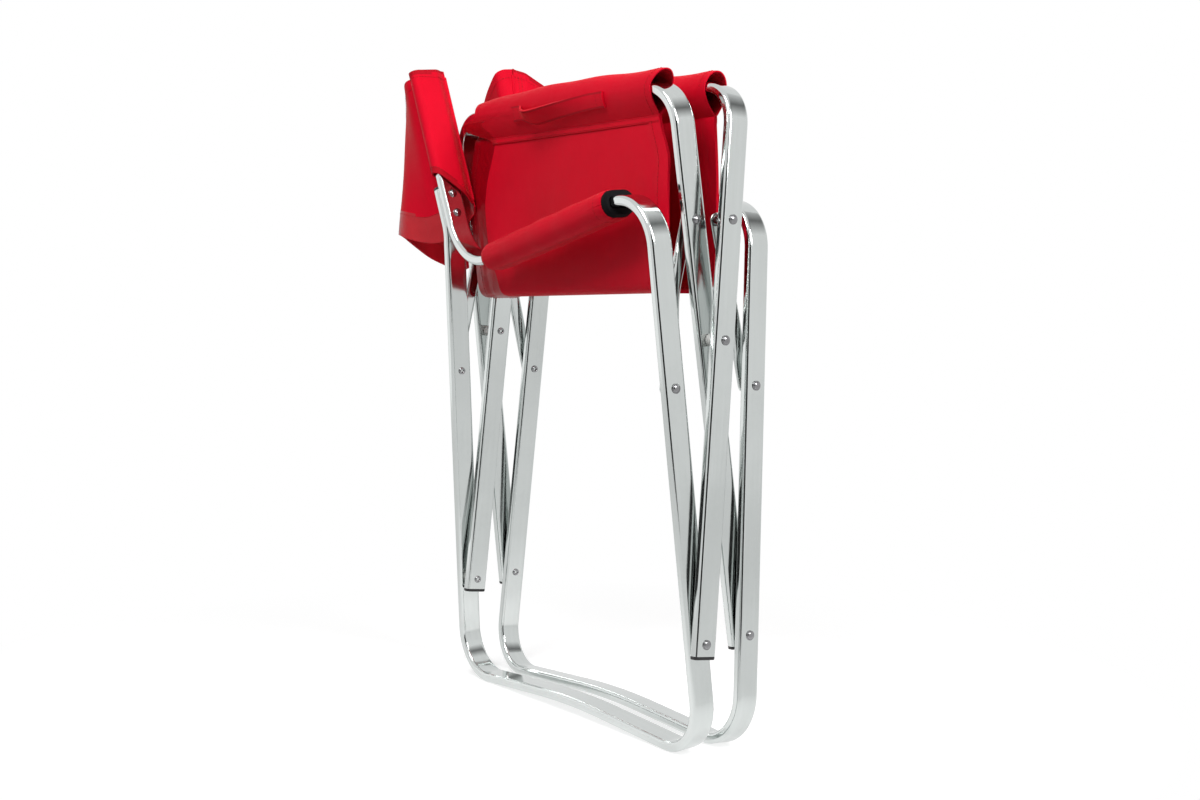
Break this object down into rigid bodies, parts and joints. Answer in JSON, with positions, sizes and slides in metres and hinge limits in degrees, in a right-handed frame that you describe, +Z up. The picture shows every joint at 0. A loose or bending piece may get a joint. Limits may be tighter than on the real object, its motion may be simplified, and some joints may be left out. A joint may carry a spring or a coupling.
{
  "type": "folding directors chair",
  "caption": "Folding directors chair with flat oval aluminium side frames, crossed seat frames, link struts, padded arms and cloth seat and back; stands folded and opens to sit on.",
  "frame": {"origin": "on the floor, under the middle of the bounding box of the folded chair", "axes": "+Z up, +Y from the front legs to the backrest, +X to the sitter's left"},
  "size_m": [0.2042, 0.8224, 0.7913],
  "materials": {
    "tube": "bright anodised",
    "steel": "plated rivets",
    "nylon": "moulded nylon",
    "plug": "moulded black",
    "foam": "closed-cell foam",
    "cloth": "coated red canvas"
  },
  "bodies": {
    "right_side": {"right_side_frame": "tube", "right_back_sleeve": "cloth", "right_leg_plug": "plug", "right_post_plug": "plug", "right_arm_foam": "foam", "right_arm_cover": "cloth", "right_front_foot_rivet": "steel", "right_front_foot_washer": "nylon", "right_front_link_rivet": "steel", "right_front_link_spacer": "nylon", "right_rear_foot_rivet": "steel", "right_rear_foot_washer": "nylon", "right_rear_link_rivet": "steel", "right_rear_link_spacer": "nylon", "right_upper_post_rivet": "steel", "right_lower_post_rivet": "steel"},
    "right_seat": {"right_seat_frame": "tube", "right_seat_front_foot_plug": "plug", "right_seat_rear_foot_plug": "plug", "right_front_upper_pin": "steel", "right_rear_upper_pin": "steel"},
    "right_front_link": {"right_front_link": "tube", "right_front_link_pin": "steel"},
    "right_rear_link": {"right_rear_link": "tube", "right_rear_link_pin": "steel"},
    "right_seat_half": {"right_seat_cloth": "cloth", "carry_handle": "cloth"},
    "right_back_half": {"right_back_cloth": "cloth"},
    "left_side": {"left_side_frame": "tube", "left_back_sleeve": "cloth", "left_leg_plug": "plug", "left_post_plug": "plug", "left_arm_foam": "foam", "left_arm_cover": "cloth", "left_front_foot_rivet": "steel", "left_front_foot_washer": "nylon", "left_front_link_rivet": "steel", "left_front_link_spacer": "nylon", "left_rear_foot_rivet": "steel", "left_rear_foot_washer": "nylon", "left_rear_link_rivet": "steel", "left_rear_link_spacer": "nylon", "left_upper_post_rivet": "steel", "left_lower_post_rivet": "steel"},
    "left_seat": {"left_seat_frame": "tube", "left_seat_front_foot_plug": "plug", "left_seat_rear_foot_plug": "plug", "left_front_upper_pin": "steel", "left_rear_upper_pin": "steel", "front_cross_rivet": "steel", "rear_cross_rivet": "steel", "front_cross_spacer": "nylon", "rear_cross_spacer": "nylon"},
    "left_front_link": {"left_front_link": "tube", "left_front_link_pin": "steel"},
    "left_rear_link": {"left_rear_link": "tube", "left_rear_link_pin": "steel"},
    "left_seat_half": {"left_seat_cloth": "cloth"},
    "left_back_half": {"left_back_cloth": "cloth"}
  },
  "joints": [
    {"name": "fold", "type": "hinge", "parent": "right_side", "child": "left_seat", "pos_m": [-0.0355, -0.14412, 0.1313], "axis": [0, 1, 0], "range_deg": [0, 50.79]},
    {"name": "right_seat_turn", "type": "hinge", "parent": "left_seat", "child": "right_seat", "pos_m": [0, -0.14412, 0.4577], "axis": [0, 1, 0], "range_deg": [-101.61, 0]},
    {"name": "left_side_turn", "type": "hinge", "parent": "right_seat", "child": "left_side", "pos_m": [0.0355, -0.14412, 0.1313], "axis": [0, 1, 0], "range_deg": [0, 50.81]},
    {"name": "right_front_link_turn", "type": "hinge", "parent": "right_side", "child": "right_front_link", "pos_m": [-0.0557, -0.34412, 0.4063], "axis": [0, 1, 0], "range_deg": [0, 84.74]},
    {"name": "left_front_link_turn", "type": "hinge", "parent": "left_side", "child": "left_front_link", "pos_m": [0.0557, -0.34412, 0.4063], "axis": [0, 1, 0], "range_deg": [-84.74, 0]},
    {"name": "right_rear_link_turn", "type": "hinge", "parent": "right_side", "child": "right_rear_link", "pos_m": [-0.0557, 0.10588, 0.4063], "axis": [0, 1, 0], "range_deg": [0, 84.74]},
    {"name": "left_rear_link_turn", "type": "hinge", "parent": "left_side", "child": "left_rear_link", "pos_m": [0.0557, 0.10588, 0.4063], "axis": [0, 1, 0], "range_deg": [-84.74, 0]},
    {"name": "right_seat_cloth_turn", "type": "hinge", "parent": "right_seat", "child": "right_seat_half", "pos_m": [-0.03016, -0.14412, 0.735], "axis": [0, 1, 0], "range_deg": [-31.89, 0], "deforming": ["right_seat_cloth"]},
    {"name": "left_seat_cloth_turn", "type": "hinge", "parent": "left_seat", "child": "left_seat_half", "pos_m": [0.03016, -0.14412, 0.735], "axis": [0, 1, 0], "range_deg": [0, 31.89], "deforming": ["left_seat_cloth"]},
    {"name": "right_back_cloth_turn", "type": "hinge", "parent": "right_side", "child": "right_back_half", "pos_m": [-0.04672, 0.10897, 0.70737], "axis": [-0.0695, 0.3173, 0.9458], "range_deg": [-77.09, 0], "deforming": ["right_back_cloth"]},
    {"name": "left_back_cloth_turn", "type": "hinge", "parent": "left_side", "child": "left_back_half", "pos_m": [0.04672, 0.10897, 0.70737], "axis": [0.0695, 0.3173, 0.9458], "range_deg": [0, 87.69], "deforming": ["left_back_cloth"]}
  ],
  "couplings": [
    {"joint": "right_seat_turn", "follows": "fold", "ratio": -2},
    {"joint": "left_side_turn", "follows": "fold", "ratio": 1},
    {"joint": "right_front_link_turn", "follows": "fold", "ratio": 1.668},
    {"joint": "left_front_link_turn", "follows": "fold", "ratio": -1.668},
    {"joint": "right_rear_link_turn", "follows": "fold", "ratio": 1.668},
    {"joint": "left_rear_link_turn", "follows": "fold", "ratio": -1.668},
    {"joint": "right_seat_cloth_turn", "follows": "fold", "ratio": -0.62744},
    {"joint": "left_seat_cloth_turn", "follows": "fold", "ratio": 0.62744},
    {"joint": "right_back_cloth_turn", "follows": "fold", "ratio": -1.5172},
    {"joint": "left_back_cloth_turn", "follows": "fold", "ratio": 1.7259}
  ]
}
